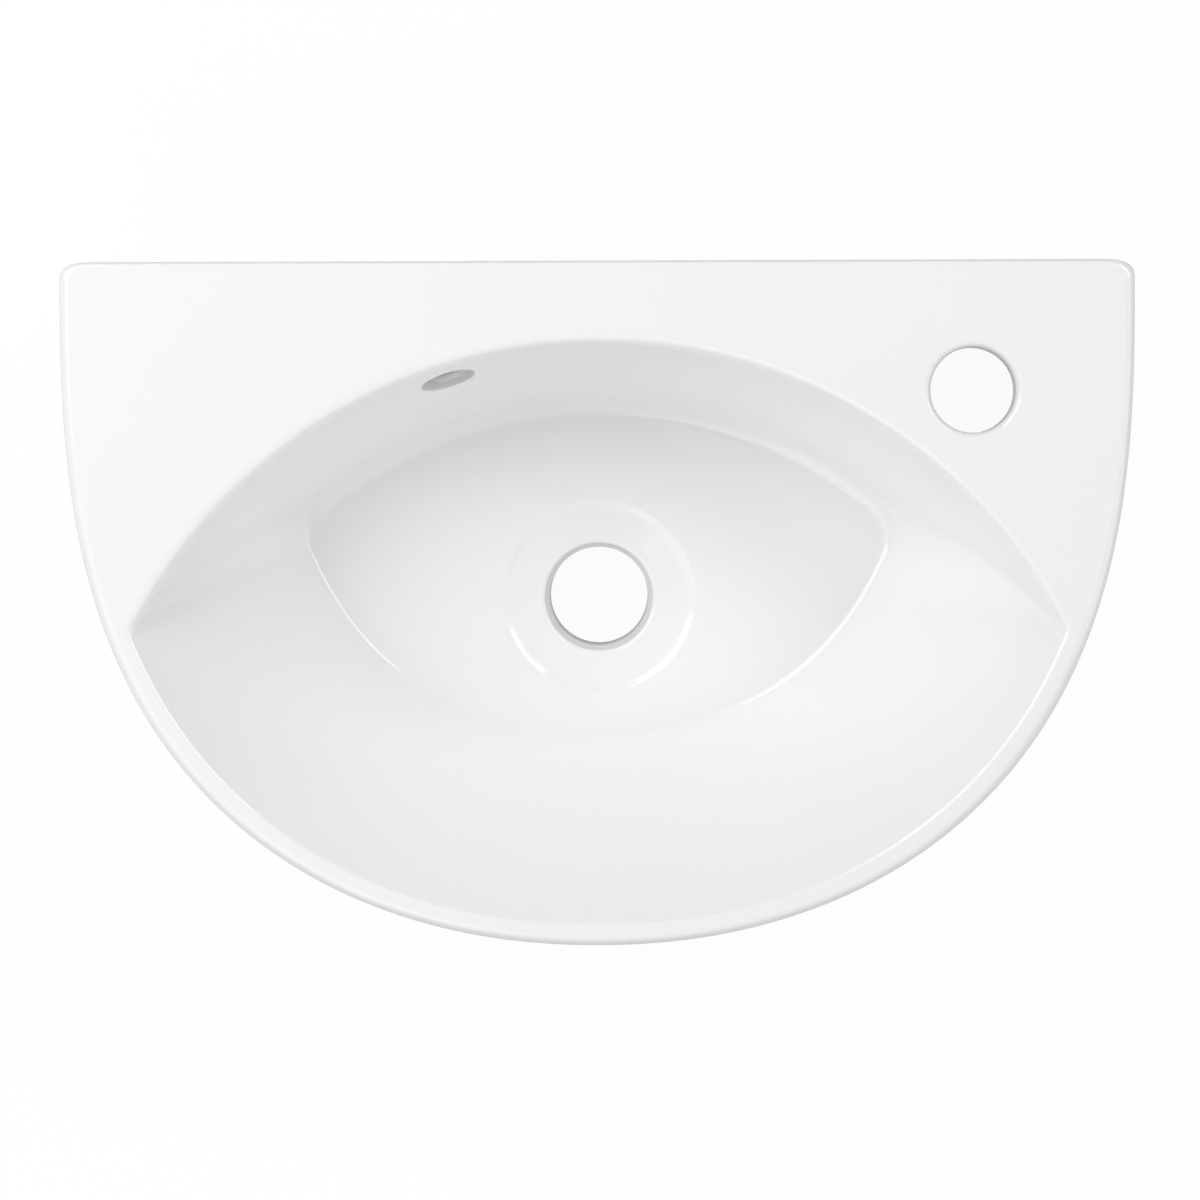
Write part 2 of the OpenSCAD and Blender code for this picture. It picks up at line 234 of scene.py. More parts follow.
def outline_reach(a, w, d, y):
    """Reach to the outline moved in: by w at the sides, d at the front and y at the wall."""
    return rounded_min(d_reach(a, BASIN_W / 2 - w, BASIN_D - d), plane_reach(a, y), CORNER_BLEND)


def wall_reach(a, w):
    """Reach to the circle of the bowl's back wall, moved in by w."""
    return np.sqrt((MOUTH_R - w) ** 2 - (WALL_CENTRE * cos(a)) ** 2) - WALL_CENTRE * sin(a)


def run_at(h, slope, r, foot, q):
    """Run of a slope at depth h: rounded at its top by r, and at its foot by q."""
    over_top = np.sqrt(np.maximum(0, h * (2 * r - h))) - r * math.tan(slope / 2)
    over_foot = foot / math.tan(slope) + q * math.tan(slope / 2) \
        - np.sqrt(np.maximum(0, (foot - h) * (2 * q - foot + h)))
    return np.where(h < r * (1 - math.cos(slope)), over_top,
                    np.where(h > foot - q * (1 - math.cos(slope)), over_foot, h / math.tan(slope)))


def slopes(a, h, t=0.0, wall_round=MOUTH_ROUND, front_round=FRONT_EDGE_ROUND):
    """Reaches at depth h to the back wall and to the front slope, or to surfaces t outside them.

    The last two values are the roundings of their top edges."""
    foot = FLOOR_DEPTH + t
    wall_in = run_at(h, WALL_SLOPE, wall_round, foot, FOOT_ROUND + t) - t / math.sin(WALL_SLOPE)
    front_in = RIM_W + run_at(h, FRONT_SLOPE, front_round, foot, FRONT_FOOT_ROUND + t) \
        - t / math.sin(FRONT_SLOPE)
    return wall_reach(a, wall_in), d_reach(a, BASIN_W / 2 - front_in, BASIN_D - front_in)


def bowl_reach(a, h):
    """Reach to the bowl's surface at depth h, where both slopes meet in a rounded valley."""
    return rounded_min(*slopes(a, h), mix(MOUTH_BLEND, VALLEY_BLEND, ease(h / FLOOR_DEPTH)))


def under_reach(a, h):
    """Reach to the bowl's underside at depth h, a china's thickness outside its surface."""
    return rounded_min(*slopes(a, h, BOWL_T, 0.0, 0.0), VALLEY_BLEND + BOWL_T)


def skirt_reach(a, h, t, y):
    """Reach to the skirt at depth h, moved in by t at the front and sides and by y at the wall."""
    tuck = (np.maximum(0, h - RIM_ROUND) / (BASIN_H - RIM_ROUND)) ** SKIRT_POWER
    return outline_reach(a, SIDE_TUCK * tuck + t, FRONT_TUCK * tuck + t, y)


def valley_ray(h):
    """The ray on which the right valley crosses depth h."""
    def on_back_wall(a):
        wall, front = slopes(a, h)
        return wall <= front
    return float(halved(-20.0, 30.0, on_back_wall, 30))


# The rays on which the right valley starts and ends, and how many degrees to each side rays turn with it
MOUTH_CORNER = valley_ray(0.0)
EYE_CORNER = valley_ray(FLOOR_DEPTH)
VALLEY_PULL = 60.0


def mirrored(a):
    """The angle of a ray, or of its mirror image where it lies on the left."""
    return np.where(a > 90, 180 - a, a)


def turned(a, h):
    """Rays turned a little on the way down, so that they follow the two valleys."""
    turn = (EYE_CORNER - MOUTH_CORNER) * np.minimum(1.0, h / FLOOR_DEPTH) \
        * np.maximum(0, 1 - np.abs(mirrored(a) - MOUTH_CORNER) / VALLEY_PULL)
    return np.where(a > 90, a - turn, a + turn)


# The rays go from the front round by the right to the back, and from there mirrored to the front.
# Behind the bowl they are spaced by where they meet the wall face. These values say where their zones
# end: at the valley in degrees to each side, at the tap hole in rays, at a fixing hole in millimetres.
VALLEY_NEAR, VALLEY_CORE = 14.0, 4.0
TAP_RAYS = (19.6, 39.4)
FIXING_BLOCK = 26.0
ARCH_END_X = math.sqrt((ARCH_R + ARCH_FILLET) ** 2 - ARCH_FILLET ** 2)

# The rays between which the back plate's rays begin to keep their x
WALL_ZONE = (20.0, 39.7)


def wall_ray(x):
    """The ray that meets the wall face at x."""
    return math.degrees(math.atan2(DRAIN_Y, x))


def make_rays():
    """Angles of all rays, the first ray of each named zone, and the ray square to the wall."""
    corner = MOUTH_CORNER
    zones = [("front", corner - VALLEY_NEAR, 44), ("valley_front", corner - VALLEY_CORE, 12),
             ("valley", corner + VALLEY_CORE, 20), ("valley_back", corner + VALLEY_NEAR, 12),
             ("before_tap", TAP_RAYS[0], 3), ("tap", TAP_RAYS[1], 36),
             ("after_tap", wall_ray(FIXING_X + FIXING_BLOCK), 5),
             ("fixing", wall_ray(FIXING_X - FIXING_BLOCK), 18),
             ("beside_arch", wall_ray(ARCH_END_X), 5), ("fillet", wall_ray(ARCH_R), 6), ("arch", 90, 24)]
    start = -90.0
    angles, first = [start], {}
    for name, end, n in zones:
        first[name] = len(angles) - 1
        if start >= TAP_RAYS[1]:
            x = steps(DRAIN_Y / math.tan(math.radians(start)), DRAIN_Y / math.tan(math.radians(end)), n)
            angles.extend(wall_ray(each) for each in x)
        else:
            angles.extend(steps(start, end, n))
        start = end
    right = np.array(angles)
    return np.concatenate([right, 180 - right[-2:0:-1]]), first, len(right) - 1


RAYS, FIRST, MIDDLE = make_rays()
BELOW = turned(RAYS, FLOOR_DEPTH)

# The rays that meet the wall face, and where they meet it; each other ray has a place far along it
MEETS_WALL = sin(RAYS) > 0.05
WALL_RAYS = np.where(MEETS_WALL, RAYS, 3.0)
WALL_X = DRAIN_Y / np.tan(np.radians(WALL_RAYS))


def left(i):
    """The column of the mirror image of column i."""
    return 2 * MIDDLE - i


def plate_rays(y):
    """The rays, turned behind the bowl so that they keep their x on a plane y in from the wall."""
    turn = np.degrees(np.arctan2(DRAIN_Y - y, WALL_X)) - WALL_RAYS
    fade = np.clip((mirrored(RAYS) - WALL_ZONE[0]) / (WALL_ZONE[1] - WALL_ZONE[0]), 0, 1)
    return RAYS + np.where(MEETS_WALL, turn * fade, 0)


DUCT_TOP = OVERFLOW_AT - OVERFLOW_AXIS * DUCT_BEHIND
DUCT_ANGLE = math.degrees(math.atan2(DUCT_TOP[1] + DRAIN_Y, DUCT_TOP[0]))
DUCT_HEEL = at(HEEL_REACH, HEEL_DEPTH, DUCT_ANGLE)
DUCT_OUTLET = at(OUTLET_REACH, OUTLET_DEPTH, DUCT_ANGLE)


def swollen(b, r, h, turn):
    """Reach, depth and angle of the underside, pushed out over the duct: level at turn 0, down at 90."""
    aside = np.where(cos(b - DUCT_ANGLE) > 0, np.abs(r * sin(b - DUCT_ANGLE)), SWELL_W)
    push = SWELL * (1 + HEEL_SWELL * sin(2 * turn)) * (1 - ease((aside - CROWN_W) / (SWELL_W - CROWN_W)))
    return r + push * cos(turn), h + push * sin(turn), b


# Depth of the underside of the rim and deck on each ray, and the least width of its flat
HOLLOW_TOP = mix(RIM_UNDERSIDE, DECK_T, ease((mirrored(RAYS) - RISE_START) / (RISE_END - RISE_START)))
HOLLOW_LEAST = 1.0

# How many degrees from the duct its rays reach, in how many they fade, and in what depth they end
DUCT_ZONE, DUCT_FADE, DUCT_FADE_DEPTH = 40.0, 15.0, 60.0


def hollow_rays(h):
    """The rays on the bowl's underside: over the duct they start where the back plate's rays end."""
    over_duct = ease((DUCT_ZONE - np.abs(RAYS - DUCT_ANGLE)) / DUCT_FADE) \
        * (1 - ease((h - HOLLOW_TOP) / DUCT_FADE_DEPTH))
    return turned(mix(RAYS, plate_rays(PLATE_T + INNER_ROUND), over_duct), h)


# Depths, and parts of the way over the deck, between which blocks of cells are left out for the ports
OUTLET_DEPTHS = (132.5, 104.5)
OVERFLOW_DEPTHS = (42.0, MOUTH_ROUND * (1 - math.cos(WALL_SLOPE)))
TAP_PARTS = (0.09, 0.63)
FIXING_DEPTHS = (55.0, 95.0)
SEAT_DEPTHS = (100.0, 50.0)
TAP_FOOT_PARTS = (0.30, 0.975)

# The least width over which the deck's rings are spread
DECK_LEAST = 4.0

# The turn of the swelling's push at the bowl's foot, and the part of the way down where it starts
FOOT_TURN, TURN_START = 50.0, 0.6

# Points this near the wall face count as on it
WALL_NEAR = 0.02


class Rings:
    """The basin's rings, each one point on every ray, with the numbers of those that are named."""

    def __init__(self):
        self.rows = []
        self.mark = {}

    def add(self, points, name=None):
        self.rows.append(points)
        if name:
            self.name_last(name)

    def name_last(self, name):
        self.mark[name] = len(self.rows) - 1


def bowl_ring(h):
    """A ring round the bowl at depth h."""
    b = turned(RAYS, h)
    return at(bowl_reach(b, h), h, b)


def waste_rings(rings):
    """Up the wall of the waste hole, from the boss's face to the flat of the dish."""
    for t in (0, 30, 60):
        rings.add(at(WASTE_R + WASTE_FOOT * (1 - sin(t)), BOSS_DEPTH - WASTE_FOOT * (1 - cos(t)), BELOW))
    rings.add(at(WASTE_R, BOSS_DEPTH - WASTE_FOOT, BELOW))
    rings.add(at(WASTE_R, OUTLET_DEPTHS[0], BELOW), "outlet_low")
    for h in steps(*OUTLET_DEPTHS, 14):
        rings.add(at(WASTE_R, h, BELOW))
    rings.name_last("outlet_high")
    flat = DISH_DEPTH + DISH_FALL
    for f in steps(0, 1, 6):
        r = mix(WASTE_R, WASTE_TOP_R, f * ease(3 * f))
        rings.add(at(r, mix(OUTLET_DEPTHS[1], flat + WASTE_EDGE, f), BELOW))
    for out, down in quarter(WASTE_EDGE, 6):
        rings.add(at(WASTE_TOP_R + out, flat + down, BELOW))


def dish_depth(r):
    """Depth of the dish at radius r: a shallow cone, with a small rounded step down at its edge."""
    cone = (DISH_R - r) / (DISH_R - WASTE_R - SEAL_W)
    return DISH_DEPTH + DISH_STEP * ease((DISH_R - r) / DISH_STEP_W) + (DISH_FALL - DISH_STEP) * cone


def floor_rings(rings):
    """From the waste hole's edge over the dish, its edge and the floor, to where the walls' foot starts."""
    for r in np.concatenate([np.linspace(WASTE_R + SEAL_W, DISH_R - DISH_STEP_W, 6),
                             steps(DISH_R - DISH_STEP_W, DISH_R, 10)]):
        rings.add(at(r, dish_depth(r), BELOW))
    eye = bowl_reach(BELOW, FLOOR_DEPTH)
    for u in (0.01, 0.03, 0.08, 0.2, 0.35, 0.5, 0.65, 0.8, 0.92):
        rise = 0.4 * (1 - u) ** 2 + 0.6 * (1 - u)
        rings.add(at(mix(DISH_R, eye, u), mix(FLOOR_DEPTH, DISH_DEPTH, rise), BELOW))


def bowl_rings(rings):
    """Up the foot of the walls, the back wall and the front slope, to their rounded top edge."""
    for t in np.linspace(0, math.degrees(WALL_SLOPE), 17):
        rings.add(bowl_ring(FLOOR_DEPTH - FOOT_ROUND * (1 - cos(t))))
    foot = FLOOR_DEPTH - FOOT_ROUND * (1 - math.cos(WALL_SLOPE))
    for h in steps(foot, OVERFLOW_DEPTHS[0], 7):
        rings.add(bowl_ring(h))
    rings.name_last("overflow_low")
    for h in steps(*OVERFLOW_DEPTHS, 12):
        rings.add(bowl_ring(h))
    rings.name_last("overflow_high")


def top_rings(rings):
    """Over the mouth's rounded edge, the deck and the rim's rounded edge.

    Where the deck is narrow its rings spread a little way over both edges."""
    mouth = bowl_reach(RAYS, 0.0)
    flat = outline_reach(RAYS, RIM_ROUND, RIM_ROUND, WALL_EDGE_ROUND) - mouth
    slide = np.maximum(0, DECK_LEAST - flat) / 2

    def over_mouth(theta):
        return bowl_ring(MOUTH_ROUND * (1 - np.cos(theta)))

    def over_rim(theta):
        part = 1 - np.sin(theta)
        return at(outline_reach(RAYS, RIM_ROUND * part, RIM_ROUND * part, WALL_EDGE_ROUND * part),
                  RIM_ROUND * (1 - np.cos(theta)), RAYS)

    for f in steps(0, 1, 15)[:-1]:
        rings.add(over_mouth(mix(WALL_SLOPE, slide / MOUTH_ROUND, f)))
    parts = np.concatenate([[0.0, 0.012, 0.04], [TAP_PARTS[0]], steps(*TAP_PARTS, 18),
                            steps(TAP_PARTS[1], 0.96, 6), [0.99, 1.0]])
    for f in parts:
        s = f * (flat + 2 * slide) - slide
        points = at(mouth + np.clip(s, 0, flat), 0.0, RAYS)
        points = np.where((s < 0)[:, None], over_mouth(np.maximum(0, -s) / MOUTH_ROUND), points)
        points = np.where((s > flat)[:, None], over_rim(np.maximum(0, s - flat) / RIM_ROUND), points)
        rings.add(points, {TAP_PARTS[0]: "tap_in", TAP_PARTS[1]: "tap_out"}.get(f))
    for f in steps(0, 1, 12):
        rings.add(over_rim(mix(slide / RIM_ROUND, math.pi / 2, f)))


def arch_path(d):
    """X and z of the back plate's lower edge in the columns of the arch, moved d into the china."""
    n_fillet, n_arch = FIRST["arch"] - FIRST["fillet"], MIDDLE - FIRST["arch"]
    meets = math.degrees(math.atan2(ARCH_FILLET, ARCH_END_X))
    round_fillet = np.linspace(270, 180 + meets, n_fillet + 1)[:-1]
    round_arch = np.linspace(meets, 90, n_arch + 1)
    x = np.concatenate([ARCH_END_X + (ARCH_FILLET - d) * cos(round_fillet), (ARCH_R + d) * cos(round_arch)])
    z = np.concatenate([LIP_Z + ARCH_FILLET + (ARCH_FILLET - d) * sin(round_fillet),
                        LIP_Z + (ARCH_R + d) * sin(round_arch)])
    return np.concatenate([x, -x[-2::-1]]), np.concatenate([z, z[-2::-1]])


ARCH_COLUMNS = slice(FIRST["fillet"], left(FIRST["fillet"]) + 1)


def arched(points, y, d, level, part):
    """A ring through the back plate with its arch columns set: part 1 on the arch, part 0 at level z."""
    x, z = arch_path(d)
    points[ARCH_COLUMNS] = np.stack([mix(WALL_X[ARCH_COLUMNS], x, part), np.full_like(x, -y),
                                     mix(level, z, part)], axis=-1)
    return points


def skirt_ring(h, t, y):
    """A ring at depth h round the skirt, moved in by t, and the back plate, moved in by y."""
    b = plate_rays(y)
    return at(skirt_reach(b, h, t, y), h, b)


def skirt_rings(rings):
    """Down the outside of the skirt and back plate, and round the lower edge."""
    level = DECK_Z - FIXING_DEPTHS[0]
    for h in steps(RIM_ROUND, FIXING_DEPTHS[0], 8):
        rings.add(skirt_ring(h, 0, 0))
    rings.name_last("fixing_high")
    for h in np.concatenate([steps(*FIXING_DEPTHS, 14), steps(FIXING_DEPTHS[1], LIP_DEPTH, 7)]):
        part = (h - FIXING_DEPTHS[0]) / (LIP_DEPTH - FIXING_DEPTHS[0])
        rings.add(arched(skirt_ring(h, 0, 0), 0, LIP_ROUND, level, part),
                  {FIXING_DEPTHS[1]: "fixing_low"}.get(h))
    rings.name_last("lip_out")
    for t in steps(0, 90, 5):
        d, y = LIP_ROUND * (1 - sin(t)), WALL_LIP * (1 - cos(t))
        rings.add(arched(skirt_ring(BASIN_H - d, LIP_ROUND * (1 - cos(t)), y), y, d, level, 1))
    for f in (0.5, 1.0):
        y = mix(WALL_LIP, PLATE_T - WALL_LIP, f)
        rings.add(arched(skirt_ring(BASIN_H, mix(LIP_ROUND, SKIRT_T - LIP_ROUND, f), y), y, 0, level, 1))
    for t in steps(0, 90, 5):
        d, y = LIP_ROUND * (1 - cos(t)), PLATE_T - WALL_LIP * (1 - sin(t))
        rings.add(arched(skirt_ring(BASIN_H - d, SKIRT_T - LIP_ROUND * (1 - sin(t)), y), y, d, level, 1))
    rings.name_last("lip_in")


def inside_rings(rings):
    """Up inside the skirt and back plate, to the underside of the deck."""
    level = DECK_Z - SEAT_DEPTHS[1]
    for h in np.concatenate([steps(LIP_DEPTH, SEAT_DEPTHS[0], 6), steps(*SEAT_DEPTHS, 14)]):
        part = (h - SEAT_DEPTHS[1]) / (LIP_DEPTH - SEAT_DEPTHS[1])
        rings.add(arched(skirt_ring(h, SKIRT_T, PLATE_T), PLATE_T, LIP_ROUND, level, part),
                  {SEAT_DEPTHS[0]: "seat_low"}.get(h))
    rings.name_last("seat_high")
    for f in steps(0, 1, 6):
        rings.add(skirt_ring(mix(SEAT_DEPTHS[1], HOLLOW_TOP + INNER_ROUND, f), SKIRT_T, PLATE_T))
    for inset, down in quarter(INNER_ROUND, 4):
        rings.add(skirt_ring(HOLLOW_TOP + down, SKIRT_T + inset, PLATE_T + inset))


def under_rings(rings):
    """Across the underside of the deck, and down the bowl's underside to its foot."""
    b_out = plate_rays(PLATE_T + INNER_ROUND)
    r_out = skirt_reach(b_out, HOLLOW_TOP, SKIRT_T + INNER_ROUND, PLATE_T + INNER_ROUND)
    b_in = hollow_rays(HOLLOW_TOP)
    limit = skirt_reach(b_in, HOLLOW_TOP, SKIRT_T + INNER_ROUND, PLATE_T + INNER_ROUND) - HOLLOW_LEAST
    r_in, _, _ = swollen(b_in, under_reach(b_in, HOLLOW_TOP) + INNER_ROUND, HOLLOW_TOP, 0.0)
    r_in = np.minimum(r_in, limit)
    parts = np.concatenate([[0.02, 0.1, 0.2], [TAP_FOOT_PARTS[0]], steps(*TAP_FOOT_PARTS, 18), [1.0]])
    for f in parts:
        rings.add(at(mix(r_out, r_in, f), HOLLOW_TOP, mix(b_out, b_in, f)),
                  {TAP_FOOT_PARTS[0]: "tap_foot_out", TAP_FOOT_PARTS[1]: "tap_foot_in"}.get(f))
    for down, out in quarter(INNER_ROUND, 4):
        h = HOLLOW_TOP + down
        b = hollow_rays(h)
        r, _, _ = swollen(b, under_reach(b, h) + out, h, 0.0)
        rings.add(at(np.minimum(r, limit), h, b))
    foot = FLOOR_DEPTH + BOWL_T
    for f in steps(0, 1, 22):
        h = mix(HOLLOW_TOP + INNER_ROUND, foot, f ** 0.85)
        b = hollow_rays(h)
        turn = FOOT_TURN * (max(0, f - TURN_START) / (1 - TURN_START)) ** 1.6
        rings.add(at(*swollen(b, under_reach(b, h), h, turn)))


def boss_rings(rings):
    """Under the floor to the boss, down the boss, and over its face to the waste hole."""
    foot, flat = FLOOR_DEPTH + BOWL_T, DISH_DEPTH + BOWL_T
    eye, start = under_reach(BELOW, foot), BOSS_R + BOSS_FOOT
    for u in steps(0, 1, 6):
        turn = mix(FOOT_TURN, 90, min(1, 2.5 * u))
        rings.add(at(*swollen(BELOW, mix(eye, start, u), mix(foot, flat, u), turn)))
    for t in steps(0, 90, 5):
        rings.add(at(*swollen(BELOW, start - BOSS_FOOT * sin(t), flat + BOSS_FOOT * (1 - cos(t)), 90)))
    _, boss_top, _ = swollen(BELOW, BOSS_R, flat + BOSS_FOOT, 90)
    for f in steps(0, 1, 4):
        rings.add(at(BOSS_R, mix(boss_top, BOSS_DEPTH - BOSS_EDGE, f), BELOW))
    for inset, up in quarter(BOSS_EDGE, 4):
        rings.add(at(BOSS_R - inset, BOSS_DEPTH - up, BELOW))
    rings.name_last("boss_face")
    for f in (0.03, 0.5, 0.97):
        rings.add(at(mix(BOSS_R - BOSS_EDGE, WASTE_R + WASTE_FOOT, f), BOSS_DEPTH, BELOW))


class Surface:
    """Points and faces of one closed surface, with a finish for each face."""

    def __init__(self):
        self.points = np.zeros((0, 3))
        self.faces = []
        self.finishes = []

    def add(self, points):
        start = len(self.points)
        self.points = np.concatenate([self.points, np.reshape(points, (-1, 3))])
        return np.arange(start, len(self.points))

    def face(self, corners, finish):
        self.faces.append([int(c) for c in corners])
        self.finishes.append(finish)

    def band(self, ring, following, finish):
        """Four-sided faces between two closed rings of as many points."""
        for a, b, c, d in zip(ring, np.roll(ring, -1), np.roll(following, -1), following):
            self.face((a, b, c, d), finish)

    def onward(self, ring, points, finish):
        """A band of faces from a ring to as many new points; returns the new ring."""
        following = self.add(points)
        self.band(ring, following, finish)
        return following

    def stitch(self, ring, ring_angles, other, other_angles, finish):
        """Triangles between two closed rings of unlike counts, whose angles both rise."""
        n, m = len(ring), len(other)
        i = j = 0
        while i < n or j < m:
            next_i = ring_angles[(i + 1) % n] + 2 * math.pi * ((i + 1) // n)
            next_j = other_angles[(j + 1) % m] + 2 * math.pi * ((j + 1) // m)
            if j >= m or (i < n and next_i <= next_j):
                self.face((ring[i % n], ring[(i + 1) % n], other[j % m]), finish)
                i += 1
            else:
                self.face((ring[i % n], other[(j + 1) % m], other[j % m]), finish)
                j += 1


class Hole:
    """A round hole's axis, and the directions that angles round it are measured from."""

    def __init__(self, centre, axis, across=(1, 0, 0)):
        self.centre = np.array(centre, dtype=float)
        self.axis = np.array(axis) / np.linalg.norm(axis)
        self.e1 = np.array(across) - np.dot(across, self.axis) * self.axis
        self.e1 /= np.linalg.norm(self.e1)
        self.e2 = np.cross(self.axis, self.e1)

    def angles(self, points):
        """Angles of points round the axis, made to rise or fall steadily along the ring."""
        p = points - self.centre
        return np.unwrap(np.arctan2(p @ self.e2, p @ self.e1))

    def circle(self, r, angles, out=0.0):
        """Points at radius r and height out along the axis."""
        out = np.broadcast_to(out, angles.shape)
        return self.centre + r * (np.outer(np.cos(angles), self.e1) + np.outer(np.sin(angles), self.e2)) \
            + np.outer(out, self.axis)


def rising(ids, angles):
    """A ring turned round so that its angles rise, from the least one that is not below nought."""
    if angles[-1] < angles[0]:
        ids, angles = ids[::-1], angles[::-1]
    start = int(np.argmin(np.mod(angles, 2 * math.pi)))
    ids, angles = np.roll(ids, -start), np.roll(angles, -start)
    return ids, np.unwrap(np.mod(angles, 2 * math.pi))


def on_plane(hole):
    """Drops points on the plane through the hole's centre, square to its axis."""
    return lambda p: p - np.outer((p - hole.centre) @ hole.axis, hole.axis)


def onto(gap, axis):
    """Moves points along an axis until gap, a distance from a surface, is nought."""
    def project(p):
        small = 1e-4
        for _ in range(8):
            rate = (gap(p + small * axis) - gap(p)) / small
            p = p - np.outer(gap(p) / rate, axis)
        return p
    return project


def back_wall_gap(p):
    """How far points lie inside the cone of the bowl's back wall, level."""
    run = (DECK_Z - p[:, 2]) / math.tan(WALL_SLOPE)
    return MOUTH_R - run - np.hypot(p[:, 0], p[:, 1] + WALL_CENTRE_Y)


def waste_wall_gap(p):
    """How far points lie inside the waste hole's wall."""
    return WASTE_R - np.hypot(p[:, 0], p[:, 1] + DRAIN_Y)


LET_IN_PARTS = (0.3, 0.55, 0.75, 0.9, 0.97, 1.0)


def let_in(surface, ids, block, hole, r, project, finish, parts=LET_IN_PARTS):
    """Rings from the border of a block of left-out cells to a circle of radius r round a hole.

    Returns the circle's points, in rising order, and their angles."""
    (r0, r1), (c0, c1) = block
    loop = np.concatenate([ids[r0, c0:c1], ids[r0:r1, c1], ids[r1, c1:c0:-1], ids[r1:r0:-1, c0]])
    loop, angles = rising(loop, hole.angles(surface.points[loop]))
    edge = surface.points[loop]
    target = project(hole.circle(r, angles))
    for f in parts:
        loop = surface.onward(loop, project(mix(edge, target, f)) if f < 1 else target, finish)
    return loop, angles


def rounded_in(surface, hole, loop, angles, r, edge, finish, n=6):
    """A rounded edge from radius r + edge on the surface down to the hole's wall at radius r."""
    heights = (surface.points[loop] - hole.centre) @ hole.axis
    for down, out in quarter(edge, n):
        loop = surface.onward(loop, hole.circle(r + out, angles, heights - down), finish)
    return loop


def edged_port(surface, ids, block, hole, r, edge, project, finish, n=6, parts=LET_IN_PARTS):
    """A round port with a rounded edge; returns the ring at its wall and that ring's angles."""
    loop, angles = let_in(surface, ids, block, hole, r + edge, project, finish, parts)
    return rounded_in(surface, hole, loop, angles, r, edge, finish, n), angles


def joined(surface, hole, loop, angles, far, n, finish):
    """A straight bore along the hole's axis between two rings of as many points."""
    far, far_angles = rising(far, hole.angles(surface.points[far]))
    shift = int(np.argmin(np.abs(np.mod(far_angles - angles[0] + math.pi, 2 * math.pi) - math.pi)))
    far, far_angles = np.roll(far, -shift), np.roll(far_angles, -shift)
    far_angles = angles + np.mod(far_angles - angles + math.pi, 2 * math.pi) - math.pi
    near_out = (surface.points[loop] - hole.centre) @ hole.axis
    far_out = (surface.points[far] - hole.centre) @ hole.axis
    r = np.linalg.norm(surface.points[loop[0]] - hole.centre - near_out[0] * hole.axis)
    for f in steps(0, 1, n)[:-1]:
        circle = hole.circle(r, mix(angles, far_angles, f), mix(near_out, far_out, f))
        loop = surface.onward(loop, circle, finish)
    surface.band(loop, far, finish)


def port_blocks(mark):
    """The blocks of cells left out for the ports: first and last ring, and first and last column."""
    tap_columns = (FIRST["tap"], FIRST["after_tap"])
    blocks = {
        "tap": ((mark["tap_in"], mark["tap_out"]), tap_columns),
        "tap foot": ((mark["tap_foot_out"], mark["tap_foot_in"]), tap_columns),
        "overflow": ((mark["overflow_low"], mark["overflow_high"]),
                     (left(FIRST["beside_arch"]) - 1, left(FIRST["after_tap"]) - 3)),
        "outlet": ((mark["outlet_low"], mark["outlet_high"]), (MIDDLE, left(FIRST["before_tap"])))}
    for side in (-1, 1):
        start, end = FIRST["fixing"], FIRST["beside_arch"]
        columns = (start, end) if side > 0 else (left(end), left(start))
        blocks["fixing", side] = ((mark["fixing_high"], mark["fixing_low"]), columns)
        blocks["seat", side] = ((mark["seat_low"], mark["seat_high"]), columns)
    return blocks


def tap_port(surface, ids, blocks):
    """The tap hole through the deck, rounded at its top."""
    top = Hole([TAP_AT[0], TAP_AT[1], DECK_Z], [0, 0, 1])
    loop, angles = edged_port(surface, ids, blocks["tap"], top, TAP_R, TAP_EDGE, on_plane(top), GLAZE)
    foot = Hole([TAP_AT[0], TAP_AT[1], DECK_Z - DECK_T], [0, 0, -1])
    far, _ = edged_port(surface, ids, blocks["tap foot"], foot, TAP_R, TAP_FOOT, on_plane(foot),
                        THIN_GLAZE, 3)
    joined(surface, top, loop, angles, far, 4, GLAZE)


def fixing_port(surface, ids, blocks, side):
    """A fixing hole through the back plate, with its ground seat inside."""
    outside = Hole([side * FIXING_X, 0, 0], [0, 1, 0])
    loop, angles = edged_port(surface, ids, blocks["fixing", side], outside, FIXING_R, FIXING_EDGE,
                              on_plane(outside), BARE_CHINA, 3)
    inside = Hole([side * FIXING_X, -PLATE_T, 0], [0, -1, 0])
    far, far_angles = let_in(surface, ids, blocks["seat", side], inside, SEAT_R + SEAT_EDGE,
                             on_plane(inside), THIN_GLAZE)
    for r, out in ((SEAT_R, -SEAT_EDGE), (SEAT_R, -SEAT_DEPTH), (SEAT_R - SEAT_EDGE, -SEAT_DEPTH),
                   (mix(FIXING_R, SEAT_R, 0.5), -SEAT_DEPTH), (FIXING_R + FIXING_EDGE, -SEAT_DEPTH)):
        far = surface.onward(far, inside.circle(r, far_angles, out), BARE_CHINA)
    far = rounded_in(surface, inside, far, far_angles, FIXING_R, FIXING_EDGE, BARE_CHINA, 3)
    joined(surface, outside, loop, angles, far, 3, BARE_CHINA)


def bend(corner, before, after, radius):
    """Points and directions round a bend of that radius, where two straight runs meet at corner."""
    angle = math.acos(np.clip(np.dot(before, after), -1, 1))
    tangent = radius * math.tan(angle / 2)
    start = corner - before * tangent
    sideways = after - np.dot(after, before) * before
    sideways /= np.linalg.norm(sideways)
    pivot = start + sideways * radius
    degrees_each = 9
    n = max(4, round(math.degrees(angle) / degrees_each))
    for t in np.linspace(0, angle, n + 1):
        yield (pivot - sideways * radius * math.cos(t) + before * radius * math.sin(t),
               before * math.cos(t) + sideways * math.sin(t))


